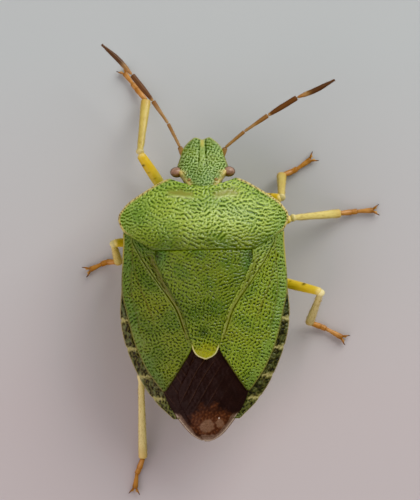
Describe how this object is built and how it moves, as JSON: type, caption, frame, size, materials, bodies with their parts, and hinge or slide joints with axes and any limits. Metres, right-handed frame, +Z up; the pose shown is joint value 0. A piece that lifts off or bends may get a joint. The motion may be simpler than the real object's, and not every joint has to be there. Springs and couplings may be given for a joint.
{
  "type": "green shield bug",
  "caption": "Life-size model of a green shield bug that stands on its feet with folded wings and raised antennae.",
  "frame": {"origin": "middle of the whole bug's footprint, antennae and feet included, on the floor that its feet stand on", "axes": "+Y along the body towards the head, +X to the bug's right side, +Z up"},
  "size_m": [0.0136, 0.0202, 0.0051],
  "materials": {
    "shield": "satin green cuticle with fine pits",
    "scutellum": "satin darker green cuticle with fine pits",
    "leather": "satin leathery wing cuticle with fine pits",
    "film": "glossy dark wing membrane",
    "margin": "satin olive and yellow banded rim",
    "belly": "satin pale green cuticle",
    "eye": "glossy brown facets",
    "antenna": "satin ochre cuticle with short hairs",
    "antenna_tip": "satin dark brown cuticle with short hairs",
    "leg": "satin yellow-green cuticle",
    "foot": "satin orange-brown cuticle",
    "beak": "satin brown cuticle"
  },
  "bodies": {
    "root": {"abdomen": "belly", "antenna_left_1": "antenna", "antenna_left_2": "antenna", "antenna_left_3": "antenna", "antenna_left_4": "antenna_tip", "antenna_left_5": "antenna_tip", "antenna_right_1": "antenna", "antenna_right_2": "antenna", "antenna_right_3": "antenna", "antenna_right_4": "antenna_tip", "antenna_right_5": "antenna_tip", "clavus_left": "leather", "clavus_right": "leather", "connexivum_left": "margin", "connexivum_right": "margin", "corium_left": "leather", "corium_right": "leather", "coxa_front_left": "leg", "coxa_front_right": "leg", "coxa_hind_left": "leg", "coxa_hind_right": "leg", "coxa_middle_left": "leg", "coxa_middle_right": "leg", "eye_left": "eye", "eye_right": "eye", "femur_front_left": "leg", "femur_front_right": "leg", "femur_hind_left": "leg", "femur_hind_right": "leg", "femur_middle_left": "leg", "femur_middle_right": "leg", "head": "shield", "membrane_left": "film", "membrane_right": "film", "pronotum": "shield", "rostrum": "beak", "scutellum": "scutellum", "tarsus_front_left": "foot", "tarsus_front_right": "foot", "tarsus_hind_left": "foot", "tarsus_hind_right": "foot", "tarsus_middle_left": "foot", "tarsus_middle_right": "foot", "thorax": "belly", "tibia_front_left": "leg", "tibia_front_right": "leg", "tibia_hind_left": "leg", "tibia_hind_right": "leg", "tibia_middle_left": "leg", "tibia_middle_right": "leg"}
  },
  "joints": []
}
